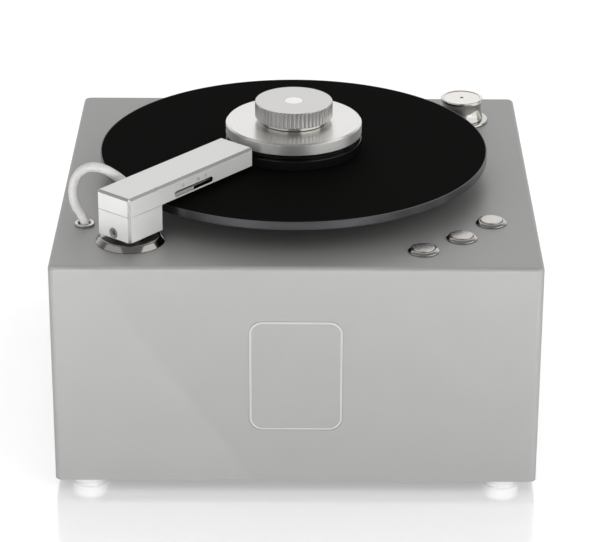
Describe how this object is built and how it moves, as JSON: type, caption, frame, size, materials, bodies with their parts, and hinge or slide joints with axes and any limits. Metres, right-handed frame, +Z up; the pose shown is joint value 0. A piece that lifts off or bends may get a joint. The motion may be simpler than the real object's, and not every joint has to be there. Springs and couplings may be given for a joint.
{
  "type": "record cleaning machine",
  "caption": "Record cleaning machine: grey case with feet, driven platter, fluted clamp, swinging suction arm with hose, push buttons, waste tank with cap and vacuum fan.",
  "frame": {"origin": "on the floor below the middle of the case", "axes": "+X to the right along the front, +Y from the front to the rear panel, +Z up"},
  "size_m": [0.35, 0.34, 0.2385],
  "materials": {
    "case_grey": "satin silver grey",
    "turned_aluminium": "fine turned or brushed",
    "polished_steel": "polished",
    "steel": "bare",
    "brass": "bare",
    "black_mat": "dull",
    "black_gloss": "gloss",
    "black_plastic": "fine grain",
    "black_felt": "short pile",
    "milky_hose": "translucent silicone",
    "white_plastic": "satin",
    "light_grey_rubber": "dull",
    "tank_plastic": "milky",
    "board_green": "lacquered board"
  },
  "bodies": {
    "chassis": {"case_shell": "case_grey", "base_plate": "steel", "foot_front_left": "light_grey_rubber", "foot_front_right": "light_grey_rubber", "foot_rear_left": "light_grey_rubber", "foot_rear_right": "light_grey_rubber", "badge_plate": "case_grey", "rear_panel": "black_plastic", "power_inlet": "black_plastic", "bearing_housing": "turned_aluminium", "upper_bearing": "steel", "lower_bearing": "steel", "drive_belt": "black_plastic", "gear_motor": "steel", "motor_bracket": "steel", "arm_flange": "polished_steel", "arm_housing": "turned_aluminium", "arm_guide_bush": "brass", "arm_spring": "steel", "suction_hose": "milky_hose", "hose_grommet": "polished_steel", "waste_tank": "tank_plastic", "tank_lid": "tank_plastic", "filler_ring": "polished_steel", "drain_spout": "black_plastic", "suction_line": "milky_hose", "vacuum_line": "milky_hose", "vacuum_housing": "black_plastic", "vacuum_motor": "steel", "button_bezel_left": "polished_steel", "button_bezel_middle": "polished_steel", "button_bezel_right": "polished_steel", "control_board": "board_green", "transformer": "steel"},
    "platter_group": {"platter_shaft": "steel", "platter": "turned_aluminium", "platter_mat": "black_mat", "drive_wheel": "turned_aluminium"},
    "pulley": {"motor_pulley": "brass"},
    "fan_wheel": {"vacuum_impeller": "turned_aluminium"},
    "clamp": {"clamp_seal": "black_gloss", "clamp_disc": "turned_aluminium"},
    "knob": {"clamp_knob": "turned_aluminium", "knob_insert": "white_plastic"},
    "lift_stage": {"arm_thrust_collar": "steel"},
    "arm": {"arm_column": "polished_steel", "arm_block": "turned_aluminium", "arm_beam": "turned_aluminium", "suction_plate": "turned_aluminium", "suction_lip_left": "black_felt", "suction_lip_right": "black_felt", "arm_set_screw": "steel", "hose_barb": "polished_steel"},
    "slider": {"size_slider": "polished_steel"},
    "button_left": {"button_cap_left": "polished_steel"},
    "button_middle": {"button_cap_middle": "polished_steel"},
    "button_right": {"button_cap_right": "polished_steel"},
    "filler_plug": {"tank_cap": "polished_steel"},
    "rocker": {"power_rocker": "black_gloss"},
    "drain_plug": {"drain_cap": "black_plastic"}
  },
  "joints": [
    {"name": "platter_spin", "type": "hinge", "parent": "chassis", "child": "platter_group", "pos_m": [-0.003, 0.0055, 0.179], "axis": [0, 0, 1], "continuous": true},
    {"name": "motor_spin", "type": "hinge", "parent": "chassis", "child": "pulley", "pos_m": [0.01, -0.08, 0.0905], "axis": [0, 0, 1], "continuous": true},
    {"name": "impeller_spin", "type": "hinge", "parent": "chassis", "child": "fan_wheel", "pos_m": [-0.102, 0.09, 0.08], "axis": [0, 0, 1], "continuous": true},
    {"name": "clamp_lift", "type": "slide", "parent": "platter_group", "child": "clamp", "axis": [0, 0, 1], "range_m": [0, 0.06]},
    {"name": "knob_turn", "type": "hinge", "parent": "clamp", "child": "knob", "pos_m": [-0.003, 0.0055, 0.2265], "axis": [0, 0, 1], "range_deg": [0, 180]},
    {"name": "arm_lift", "type": "slide", "parent": "chassis", "child": "lift_stage", "axis": [0, 0, 1], "range_m": [-0.002, 0], "stiffness_N_per_m": 1500, "springref_m": 0.006, "deforming": ["arm_spring", "suction_hose"]},
    {"name": "arm_swing", "type": "hinge", "parent": "lift_stage", "child": "arm", "pos_m": [-0.1193, -0.1224, 0.179], "axis": [0, 0, 1], "range_deg": [-80, 0], "deforming": ["suction_hose"]},
    {"name": "slider_slide", "type": "slide", "parent": "arm", "child": "slider", "axis": [0.6421, 0.7666, 0], "range_m": [0, 0.02]},
    {"name": "button_left_press", "type": "slide", "parent": "chassis", "child": "button_left", "axis": [0, 0, -1], "range_m": [0, 0.0018], "stiffness_N_per_m": 600, "springref_m": -0.003},
    {"name": "button_middle_press", "type": "slide", "parent": "chassis", "child": "button_middle", "axis": [0, 0, -1], "range_m": [0, 0.0018], "stiffness_N_per_m": 600, "springref_m": -0.003},
    {"name": "button_right_press", "type": "slide", "parent": "chassis", "child": "button_right", "axis": [0, 0, -1], "range_m": [0, 0.0018], "stiffness_N_per_m": 600, "springref_m": -0.003},
    {"name": "tank_cap_lift", "type": "slide", "parent": "chassis", "child": "filler_plug", "axis": [0, 0, 1], "range_m": [0, 0.035]},
    {"name": "rocker_tilt", "type": "hinge", "parent": "chassis", "child": "rocker", "pos_m": [-0.0265, 0.1636, 0.094], "axis": [1, 0, 0], "range_deg": [0, 16]},
    {"name": "drain_cap_pull", "type": "slide", "parent": "chassis", "child": "drain_plug", "axis": [0, 1, 0], "range_m": [0, 0.025]}
  ],
  "couplings": [
    {"joint": "motor_spin", "follows": "platter_spin", "ratio": 4}
  ]
}
